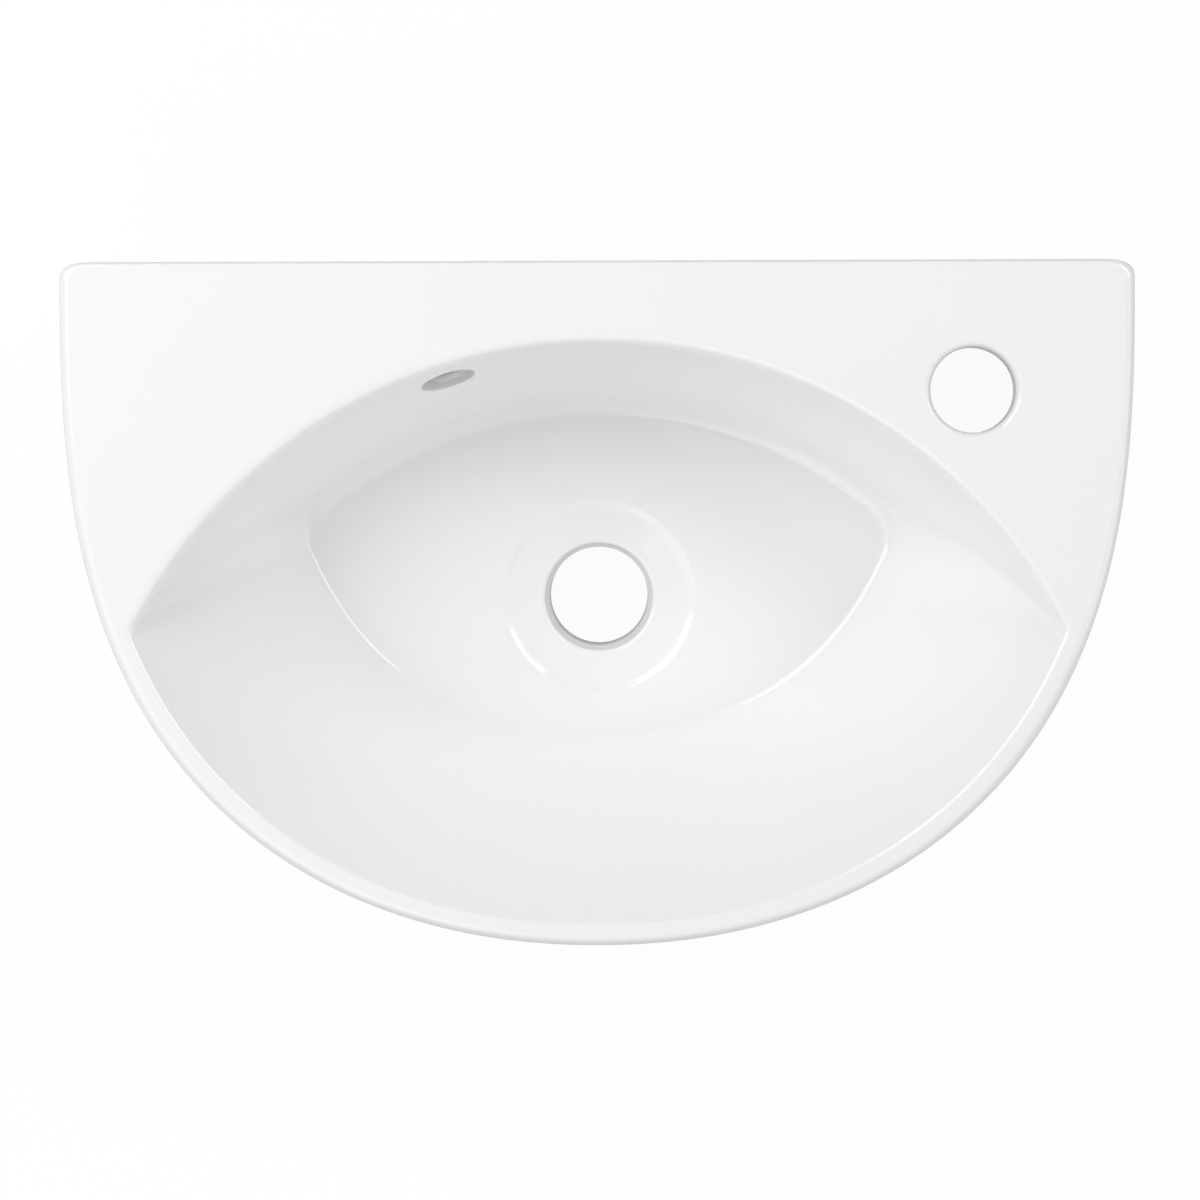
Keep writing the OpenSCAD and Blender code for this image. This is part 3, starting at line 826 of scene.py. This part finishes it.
def carried(across, before, after):
    """A direction across a tube, carried round a turn from before to after without any twist."""
    axis = np.cross(before, after)
    if np.linalg.norm(axis) <= 1e-9:
        return across
    axis /= np.linalg.norm(axis)
    angle = math.acos(np.clip(np.dot(before, after), -1, 1))
    return across * math.cos(angle) + np.cross(axis, across) * math.sin(angle) \
        + axis * np.dot(axis, across) * (1 - math.cos(angle))


def duct_bends(surface, hole, loop, angles, down, away):
    """The duct from the overflow hole round its two bends, narrowing in the first; returns its end."""
    top_bend = list(bend(DUCT_TOP, -hole.axis, down, TOP_BEND_R))
    heel_bend = list(bend(DUCT_HEEL, down, away, HEEL_BEND_R))
    across, before = hole.e1, -hole.axis
    for i, (centre, direction) in enumerate(top_bend + heel_bend):
        across, before = carried(across, before, direction), direction
        r = mix(OVERFLOW_R, DUCT_R, ease(i / (len(top_bend) - 1)))
        loop = surface.onward(loop, Hole(centre, -direction, across).circle(r, angles), THIN_GLAZE)
    return loop


def duct_outlet(surface, ids, blocks, loop, away):
    """The duct's outlet in the waste hole's wall, and its last straight run, stitched to the ring loop."""
    to_wall = onto(waste_wall_gap, -away)
    meets = to_wall(np.array([DUCT_OUTLET - away * (WASTE_R - OUTLET_REACH)]))[0]
    outlet = Hole(meets, away)
    far, far_angles = edged_port(surface, ids, blocks["outlet"], outlet, DUCT_R, DUCT_EDGE, to_wall,
                                 THIN_GLAZE, 4, (0.4, 0.75, 0.93, 1.0))
    for back, straightened in ((4.0, 0.5), (9.0, 1.0)):
        heights = (surface.points[far] - meets) @ away
        circle = outlet.circle(DUCT_R, far_angles, mix(heights, -back, straightened))
        far = surface.onward(far, circle, THIN_GLAZE)
    loop, angles = rising(loop, outlet.angles(surface.points[loop]))
    surface.stitch(loop, angles, far, far_angles, THIN_GLAZE)


def overflow_port(surface, ids, blocks):
    """The overflow hole in the bowl's back wall, the duct, and its outlet in the waste hole's wall."""
    hole = Hole(OVERFLOW_AT, OVERFLOW_AXIS)
    loop, angles = edged_port(surface, ids, blocks["overflow"], hole, OVERFLOW_R, OVERFLOW_EDGE,
                              onto(back_wall_gap, OVERFLOW_AXIS), GLAZE, 7)
    down = (DUCT_HEEL - DUCT_TOP) / np.linalg.norm(DUCT_HEEL - DUCT_TOP)
    away = (DUCT_OUTLET - DUCT_HEEL) / np.linalg.norm(DUCT_OUTLET - DUCT_HEEL)
    loop = duct_bends(surface, hole, loop, angles, down, away)
    duct_outlet(surface, ids, blocks, loop, away)


def ring_finish(mark, row):
    """The finish of the faces that follow a ring."""
    if mark["outlet_high"] <= row < mark["lip_out"]:
        return GLAZE
    if mark["lip_out"] <= row < mark["lip_in"] or row >= mark["boss_face"]:
        return BARE_CHINA
    return THIN_GLAZE


def basin_surface():
    """The whole basin in millimetres."""
    rings = Rings()
    for make in (waste_rings, floor_rings, bowl_rings, top_rings, skirt_rings, inside_rings, under_rings,
                 boss_rings):
        make(rings)
    rows = np.array(rings.rows)
    surface = Surface()
    n, m = rows.shape[:2]
    ids = surface.add(rows).reshape(n, m)
    blocks = port_blocks(rings.mark)
    open_cells = np.zeros((n, m), dtype=bool)
    for (r0, r1), (c0, c1) in blocks.values():
        open_cells[r0:r1, c0:c1] = True
    on_wall = np.abs(rows[:, :, 1]) < WALL_NEAR
    for i in range(n):
        finish = ring_finish(rings.mark, i)
        i2 = (i + 1) % n
        for j in range(m):
            if open_cells[i, j]:
                continue
            j2 = (j + 1) % m
            flat_on_wall = on_wall[i, j] and on_wall[i, j2] and on_wall[i2, j] and on_wall[i2, j2]
            surface.face((ids[i, j], ids[i, j2], ids[i2, j2], ids[i2, j]),
                         BARE_CHINA if flat_on_wall else finish)
    tap_port(surface, ids, blocks)
    for side in (-1, 1):
        fixing_port(surface, ids, blocks, side)
    overflow_port(surface, ids, blocks)
    surface.points = np.clip(surface.points, BASIN_LOW, BASIN_HIGH)
    return surface


def linked(name, data):
    """A new object in the scene."""
    obj = bpy.data.objects.new(name, data)
    bpy.context.scene.collection.objects.link(obj)
    return obj


def smooth_object(name, surface, materials):
    """A smooth-shaded mesh object in metres, with loose points left out and faces turned outwards."""
    used = np.unique(np.concatenate(surface.faces))
    number = {int(old): new for new, old in enumerate(used)}
    mesh = bpy.data.meshes.new(name)
    mesh.from_pydata([tuple(p * MM) for p in surface.points[used]], [],
                     [[number[c] for c in f] for f in surface.faces])
    for material in materials:
        mesh.materials.append(material)
    mesh.polygons.foreach_set("material_index", surface.finishes)
    mesh.polygons.foreach_set("use_smooth", [True] * len(surface.faces))
    shell = bmesh.new()
    shell.from_mesh(mesh)
    bmesh.ops.recalc_face_normals(shell, faces=shell.faces[:])
    shell.to_mesh(mesh)
    shell.free()
    return linked(name, mesh)


def rounded_profile(corners, n=5):
    """The points of a closed profile whose corners, as radius, height and rounding, are rounded off."""
    points = []
    for i, (r, h, q) in enumerate(corners):
        here = np.array([r, h])
        to_last = np.array(corners[i - 1][:2]) - here
        to_next = np.array(corners[(i + 1) % len(corners)][:2]) - here
        start = here + q * to_last / np.linalg.norm(to_last)
        end = here + q * to_next / np.linalg.norm(to_next)
        for t in np.linspace(0, 1, n):
            points.append((1 - t) ** 2 * start + 2 * t * (1 - t) * here + t * t * end)
    return np.array(points)


# A bush: its bore, its shank in the fixing hole and its flange on the ground seat
BUSH_R = mounts["wall_fixings"]["dims"]["hole_r_mm"]
BUSH_GAP = 0.3
BUSH_FLANGE_R = 16.0
BUSH_FLANGE_T = 4.0
BUSH_SIDES = 96


def bush(side, material):
    """A nylon bush, turned about its fixing hole's axis, with its edges rounded."""
    shank_r = FIXING_R - BUSH_GAP
    seat = PLATE_T - SEAT_DEPTH
    top = seat + BUSH_FLANGE_T
    profile = rounded_profile([
        (BUSH_R, 0, 0.3), (shank_r, 0, 0.8), (shank_r, seat, 0.3), (BUSH_FLANGE_R, seat, 0.3),
        (BUSH_FLANGE_R, top, 0.8), (BUSH_R, top, 0.8)])
    surface = Surface()
    hole = Hole([side * FIXING_X, 0, 0], [0, -1, 0])
    angles = np.linspace(0, 2 * math.pi, BUSH_SIDES + 1)[:-1]
    hoops = [surface.add(hole.circle(r, angles, h)) for r, h in profile]
    for ring, following in zip(hoops, hoops[1:] + hoops[:1]):
        surface.band(ring, following, 0)
    name = "fixing_bush_right" if side > 0 else "fixing_bush_left"
    obj = smooth_object(name + "_nylon", surface, [material])
    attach(obj, "root")
    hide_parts(name)


def node_group(name, inputs, output):
    """A shader node group with named number sockets; returns it, the inputs' sockets and the output's."""
    group = bpy.data.node_groups.new(name, "ShaderNodeTree")
    for label, value in inputs.items():
        socket = group.interface.new_socket(label, in_out="INPUT", socket_type="NodeSocketFloat")
        socket.default_value = value
    group.interface.new_socket(output, in_out="OUTPUT", socket_type="NodeSocketFloat")
    return group, group.nodes.new("NodeGroupInput").outputs, group.nodes.new("NodeGroupOutput").inputs


def feed(tree, socket, value):
    """Feeds an input with another node's output, or sets it to a number or a colour."""
    if isinstance(value, bpy.types.NodeSocket):
        tree.links.new(value, socket)
    else:
        socket.default_value = value


def math_node(tree, operation, a, b, clamp=False):
    """A Math node; each operand is a socket or a number."""
    node = tree.nodes.new("ShaderNodeMath")
    node.operation = operation
    node.use_clamp = clamp
    feed(tree, node.inputs[0], a)
    feed(tree, node.inputs[1], b)
    return node.outputs[0]


def object_place(tree):
    return tree.nodes.new("ShaderNodeTexCoord").outputs["Object"]


def sized_noise(tree, size, detail):
    """Noise whose patches are about size metres across; size is a socket."""
    noise = tree.nodes.new("ShaderNodeTexNoise")
    noise.inputs["Detail"].default_value = detail
    tree.links.new(math_node(tree, "DIVIDE", 1.0, size), noise.inputs["Scale"])
    tree.links.new(object_place(tree), noise.inputs["Vector"])
    return noise.outputs["Fac"]


def drift_group():
    """A value that drifts slowly over the surface between Low and High."""
    group, given, result = node_group("slow drift", {"Size": 0.1, "Low": 0.0, "High": 1.0}, "Value")
    noise = sized_noise(group, given["Size"], 2.0)
    span = math_node(group, "SUBTRACT", given["High"], given["Low"])
    spread = math_node(group, "SUBTRACT", math_node(group, "MULTIPLY", noise, 2.0), 0.5, True)
    value = math_node(group, "MULTIPLY", spread, span)
    group.links.new(math_node(group, "ADD", value, given["Low"]), result["Value"])
    return group


def waviness_group():
    """Height of a poured glaze: a long swell, and a fine orange peel on top of it, in metres."""
    group, given, result = node_group("glaze waviness", {
        "Swell size": 0.06, "Swell height": 2e-5, "Peel size": 0.004, "Peel height": 1e-6}, "Height")
    swell = sized_noise(group, given["Swell size"], 1.0)
    peel = sized_noise(group, given["Peel size"], 2.0)
    total = math_node(group, "ADD", math_node(group, "MULTIPLY", swell, given["Swell height"]),
                      math_node(group, "MULTIPLY", peel, given["Peel height"]))
    group.links.new(total, result["Height"])
    return group


def speck_group():
    """Sparse small dots: the mask is 1 at the middle of each. Share is the part of the cells with one."""
    group, given, result = node_group("specks", {"Spacing": 0.012, "Radius": 0.0003, "Share": 0.2}, "Mask")
    cells = group.nodes.new("ShaderNodeTexVoronoi")
    group.links.new(object_place(group), cells.inputs["Vector"])
    group.links.new(math_node(group, "DIVIDE", 1.0, given["Spacing"]), cells.inputs["Scale"])
    away = math_node(group, "MULTIPLY", cells.outputs["Distance"], given["Spacing"])
    near = math_node(group, "SUBTRACT", 1.0, math_node(group, "DIVIDE", away, given["Radius"]), True)
    pick = group.nodes.new("ShaderNodeSeparateColor")
    group.links.new(cells.outputs["Color"], pick.inputs["Color"])
    chosen = math_node(group, "LESS_THAN", pick.outputs[0], given["Share"])
    group.links.new(math_node(group, "MULTIPLY", near, chosen), result["Mask"])
    return group


def placed(tree, group, *values):
    """A group placed in a material, with its first inputs set to these values."""
    node = tree.nodes.new("ShaderNodeGroup")
    node.node_tree = group
    for socket, value in zip(node.inputs, values):
        socket.default_value = value
    return node.outputs[0]


def blended(tree, mask, first, second):
    """A colour that goes from first to second with the mask; each is a socket or a colour."""
    node = tree.nodes.new("ShaderNodeMix")
    node.data_type = "RGBA"
    tree.links.new(mask, node.inputs["Factor"])
    feed(tree, node.inputs[6], first)
    feed(tree, node.inputs[7], second)
    return node.outputs[2]


def between(tree, mask, first, second):
    """A value that goes from first to second with the mask; each is a socket or a number."""
    node = tree.nodes.new("ShaderNodeMix")
    tree.links.new(mask, node.inputs["Factor"])
    feed(tree, node.inputs[2], first)
    feed(tree, node.inputs[3], second)
    return node.outputs[0]


def new_material(name):
    """A material with one Principled BSDF; returns the material, its tree and that shader."""
    material = bpy.data.materials.new(name)
    material.use_nodes = True
    tree = material.node_tree
    return material, tree, tree.nodes["Principled BSDF"]


DRIFT, WAVINESS, SPECKS = drift_group(), waviness_group(), speck_group()


def drifting(tree, size, first, second):
    """A colour that drifts between two colours, in patches of that size."""
    return blended(tree, placed(tree, DRIFT, size), first, second)


def finished_material(name, tone, specks, gloss, waves):
    """A material whose colour and roughness drift, with sparse specks and a slightly wavy surface.

    tone is a patch size and two colours, specks their colour, spacing, radius and share, gloss a patch
    size with the least and most roughness, and waves the swell's size and height and then the peel's.
    Lengths are in metres. It returns the material, its tree and its shader."""
    material, tree, shader = new_material(name)
    colour = drifting(tree, *tone)
    if specks:
        colour = blended(tree, placed(tree, SPECKS, *specks[1:]), colour, specks[0])
    tree.links.new(colour, shader.inputs["Base Color"])
    tree.links.new(placed(tree, DRIFT, *gloss), shader.inputs["Roughness"])
    bump = tree.nodes.new("ShaderNodeBump")
    bump.inputs["Distance"].default_value = 1.0
    tree.links.new(placed(tree, WAVINESS, *waves), bump.inputs["Height"])
    tree.links.new(bump.outputs["Normal"], shader.inputs["Normal"])
    return material, tree, shader


GLAZE_WHITE = (0.87, 0.87, 0.87, 1.0)
GLAZE_THICK = (0.857, 0.861, 0.861, 1.0)
GLAZE_SPECK = (0.62, 0.60, 0.56, 1.0)
THIN_LIGHT = (0.81, 0.81, 0.805, 1.0)
THIN_DARK = (0.75, 0.748, 0.74, 1.0)
THIN_SPECK = (0.52, 0.50, 0.46, 1.0)
BARE_LIGHT = (0.78, 0.765, 0.735, 1.0)
BARE_DARK = (0.71, 0.69, 0.655, 1.0)
BARE_SPECK = (0.48, 0.44, 0.38, 1.0)
NYLON_LIGHT = (0.76, 0.75, 0.71, 1.0)
NYLON_DARK = (0.71, 0.695, 0.65, 1.0)
BARE_ROUGHNESS = 0.72

# Where the glaze ends at the wall: distances from the wall face, in metres
GLAZE_END, GLAZE_FULL = -0.00025, -0.0004


def ground_mask(tree):
    """1 where the wall face was ground after firing, with a clean line to the glaze at 0."""
    axes = tree.nodes.new("ShaderNodeSeparateXYZ")
    tree.links.new(object_place(tree), axes.inputs[0])
    fade = tree.nodes.new("ShaderNodeMapRange")
    tree.links.new(axes.outputs["Y"], fade.inputs["Value"])
    fade.inputs["From Min"].default_value = GLAZE_FULL
    fade.inputs["From Max"].default_value = GLAZE_END
    return fade.outputs[0]


def white_glaze():
    """Thick glossy white glaze, a little wavy, with a faint drift of tone and a few tiny specks.

    It stops at a clean line where the wall face is ground."""
    material, tree, shader = finished_material(
        "white glaze", (0.11, GLAZE_WHITE, GLAZE_THICK), (GLAZE_SPECK, 0.03, 0.00028, 0.3),
        (0.05, 0.03, 0.06), (0.055, 6.0e-5, 0.003, 1.2e-6))
    shader.inputs["IOR"].default_value = 1.5
    mask = ground_mask(tree)
    colour, roughness = shader.inputs["Base Color"], shader.inputs["Roughness"]
    bare = drifting(tree, 0.04, BARE_LIGHT, BARE_DARK)
    tree.links.new(blended(tree, mask, colour.links[0].from_socket, bare), colour)
    tree.links.new(between(tree, mask, roughness.links[0].from_socket, BARE_ROUGHNESS), roughness)
    return material


def thin_glaze():
    """Thin sprayed glaze on the hidden side: satin and patchy."""
    return finished_material(
        "thin sprayed glaze", (0.03, THIN_LIGHT, THIN_DARK), (THIN_SPECK, 0.012, 0.0004, 0.4),
        (0.018, 0.22, 0.55), (0.02, 1.5e-4, 0.0015, 1.2e-5))[0]


def bare_china():
    """Fired china without glaze: the ground back face, the wiped lower edge and the ground seats."""
    return finished_material(
        "bare ground china", (0.04, BARE_LIGHT, BARE_DARK), (BARE_SPECK, 0.006, 0.0004, 0.5),
        (0.01, 0.62, 0.85), (0.006, 3.0e-5, 0.0006, 2.0e-5))[0]


def natural_nylon():
    """Moulded nylon in its natural colour: satin and a little clear, with a fine mould grain."""
    material, _, shader = finished_material(
        "natural nylon", (0.012, NYLON_LIGHT, NYLON_DARK), None, (0.004, 0.34, 0.5),
        (0.003, 1.0e-5, 0.0004, 6.0e-6))
    shader.inputs["Subsurface Weight"].default_value = 0.15
    shader.inputs["Subsurface Radius"].default_value = (0.002, 0.0018, 0.0014)
    shader.inputs["Subsurface Scale"].default_value = 1.0
    return material


def basin(materials):
    """The china basin, with a material for each of its three finishes."""
    obj = smooth_object("china_basin", basin_surface(), materials)
    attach(obj, "root")
    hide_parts("basin")


def mixed_shader(tree, share, first, second):
    """Two shaders mixed by a share of the second, which is a socket or a number."""
    node = tree.nodes.new("ShaderNodeMixShader")
    feed(tree, node.inputs["Fac"], share)
    tree.links.new(first, node.inputs[1])
    tree.links.new(second, node.inputs[2])
    return node.outputs[0]


# The table's colour, the share of light that it lets through, the colour of the sheet that the camera
# sees on it, the share of plain white in what the camera and the glaze see of it, half its width in
# metres, and its gap under the basin's lower edge
FLOOR_COLOUR = (0.8, 0.8, 0.8, 1.0)
FLOOR_THROUGH = 0.4
SHEET_COLOUR = (0.95, 0.95, 0.95, 1.0)
FLOOR_WHITE = 0.95
FLOOR_WHITE_MIRRORED = 0.3
FLOOR_HALF = 6.0
FLOOR_GAP = 0.2


def white_floor():
    """A pale translucent table under the basin, which daylight also reaches from below.

    The camera sees a white sheet with a faint shadow there, and the glaze mirrors it as partly white.
    From below the camera sees through it."""
    material, tree, shader = new_material("pale floor")
    shader.inputs["Base Color"].default_value = FLOOR_COLOUR
    shader.inputs["Roughness"].default_value = 0.9
    through = tree.nodes.new("ShaderNodeBsdfTranslucent")
    through.inputs["Color"].default_value = FLOOR_COLOUR
    table = mixed_shader(tree, FLOOR_THROUGH, shader.outputs[0], through.outputs[0])
    white = tree.nodes.new("ShaderNodeEmission")
    white.inputs["Color"].default_value = (1.0, 1.0, 1.0, 1.0)
    path = tree.nodes.new("ShaderNodeLightPath")
    sheet = tree.nodes.new("ShaderNodeBsdfDiffuse")
    sheet.inputs["Color"].default_value = SHEET_COLOUR
    seen = mixed_shader(tree, FLOOR_WHITE, sheet.outputs[0], white.outputs[0])
    in_glaze = math_node(tree, "MAXIMUM", path.outputs["Is Glossy Ray"], path.outputs["Is Transmission Ray"])
    table = mixed_shader(tree, math_node(tree, "MULTIPLY", in_glaze, FLOOR_WHITE_MIRRORED),
                         table, white.outputs[0])
    above = mixed_shader(tree, path.outputs["Is Camera Ray"], table, seen)
    clear = tree.nodes.new("ShaderNodeBsdfTransparent")
    behind = tree.nodes.new("ShaderNodeNewGeometry").outputs["Backfacing"]
    from_below = math_node(tree, "MULTIPLY", behind, path.outputs["Is Camera Ray"])
    tree.links.new(mixed_shader(tree, from_below, above, clear.outputs[0]),
                   tree.nodes["Material Output"].inputs["Surface"])
    level = (LIP_Z - FLOOR_GAP) * MM
    corners = [(x * FLOOR_HALF, y * FLOOR_HALF, level) for x, y in ((-1, -1), (1, -1), (1, 1), (-1, 1))]
    mesh = bpy.data.meshes.new("floor")
    mesh.from_pydata(corners, [], [(0, 1, 2, 3)])
    mesh.materials.append(material)
    floor = linked("floor", mesh)


def soft_light(name, place, aim, size, strength):
    """A flat lamp, of a width and height in metres, that faces the point aimed at."""
    lamp = bpy.data.lights.new(name, "AREA")
    lamp.shape = "RECTANGLE"
    lamp.size, lamp.size_y = size
    lamp.energy = strength
    obj = linked(name, lamp)
    obj.location = place * MM
    towards = aim - place
    obj.rotation_euler = (math.acos(-towards[2] / np.linalg.norm(towards)), 0,
                          math.atan2(towards[1], towards[0]) - math.pi / 2)


# The lamps stand round the bowl. Each is given by its distance, its angle from overhead, its direction
# from +X towards +Y, its width and height in metres and its strength. The level deck mirrors none.
BOWL_MIDDLE = np.array([0.0, -140.0, 20.0])
LAMPS = [("back left softbox", 1700, 46, 143, (1.25, 1.1), 16.3),
         ("right softbox", 2200, 64, 0, (1.4, 1.0), 7.5),
         ("front left softbox", 2200, 42, 222, (1.9, 1.9), 11.2),
         ("front softbox", 2200, 47, 275, (2.6, 1.8), 12.3),
         ("back right softbox", 2200, 48, 35, (1.1, 0.7), 10.7)]
WORLD_STRENGTH = 0.235


def studio():
    """Plain soft light: a pale world, which the camera sees as white, and five softboxes."""
    world = bpy.data.worlds.new("studio")
    world.use_nodes = True
    tree = world.node_tree
    background = tree.nodes["Background"]
    background.inputs["Color"].default_value = (1.0, 1.0, 1.0, 1.0)
    seen = tree.nodes.new("ShaderNodeLightPath").outputs["Is Camera Ray"]
    tree.links.new(between(tree, seen, WORLD_STRENGTH, 1.0), background.inputs["Strength"])
    bpy.context.scene.world = world
    for name, distance, down, direction, size, strength in LAMPS:
        towards = np.array([sin(down) * cos(direction), sin(down) * sin(direction), cos(down)])
        soft_light(name, BOWL_MIDDLE + distance * towards, BOWL_MIDDLE, size, strength)
    bpy.context.scene.view_settings.view_transform = "Standard"


# The camera looks straight down, from a distance above the rim at which its frame takes in
# VIEW_WIDTH. It is turned a little, and its frame lies off its axis by parts of that width.
VIEW_WIDTH = 491.0
VIEW_DISTANCE = 1500.0
CAMERA_AT = (5.8, -94.1, DECK_Z - RIM_ROUND + VIEW_DISTANCE)
CAMERA_TURN = -0.19
CAMERA_SHIFT = (-0.0100, -0.0911)


def camera():
    """The camera, at the photo's viewing angle."""
    data = bpy.data.cameras.new("camera")
    data.sensor_width = 36.0
    data.lens = data.sensor_width * VIEW_DISTANCE / VIEW_WIDTH
    data.shift_x, data.shift_y = CAMERA_SHIFT
    obj = linked("camera", data)
    obj.location = [c * MM for c in CAMERA_AT]
    obj.rotation_euler = (0.0, 0.0, math.radians(CAMERA_TURN))
    bpy.context.scene.camera = obj


nylon = natural_nylon()
basin([white_glaze(), thin_glaze(), bare_china()])
bush(-1, nylon)
bush(1, nylon)
white_floor()
studio()
camera()
